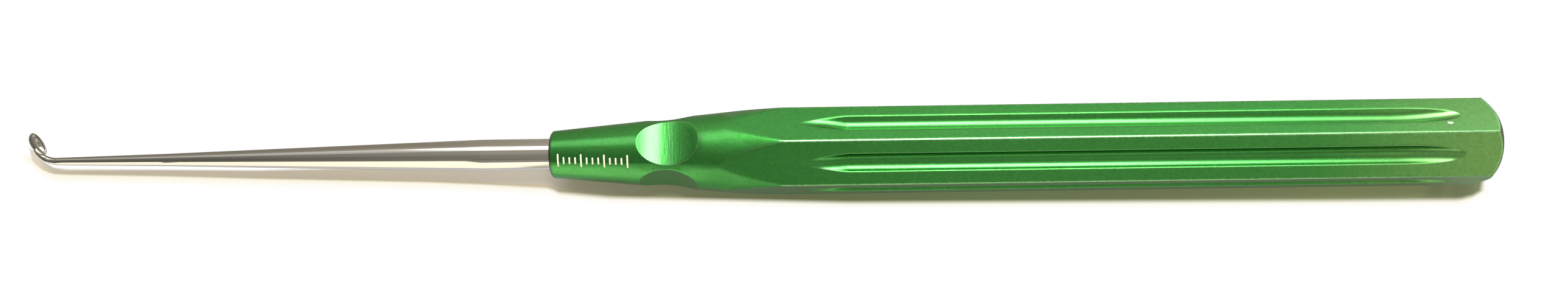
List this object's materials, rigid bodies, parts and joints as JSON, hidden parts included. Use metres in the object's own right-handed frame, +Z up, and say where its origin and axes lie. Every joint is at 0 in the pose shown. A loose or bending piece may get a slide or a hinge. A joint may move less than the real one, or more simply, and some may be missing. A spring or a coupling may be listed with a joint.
{
  "type": "cervical curette",
  "caption": "Cervical curette with a fluted hexagonal green anodised handle, a scalloped nose and a slim tapered steel shaft that bends into a small spoon cup.",
  "frame": {"origin": "on the table, under the middle of the tool's length and under the handle's axis", "axes": "+X from the cup to the butt of the handle along its axis, +Z up from the flat that the handle lies on, and the cup turns towards +Y"},
  "size_m": [0.2318, 0.0146, 0.0127],
  "materials": {
    "anodised_handle": "green anodised, satin",
    "polished_steel": "polished stainless steel"
  },
  "bodies": {
    "root": {"handle": "anodised_handle", "curette_shaft": "polished_steel"}
  },
  "joints": []
}
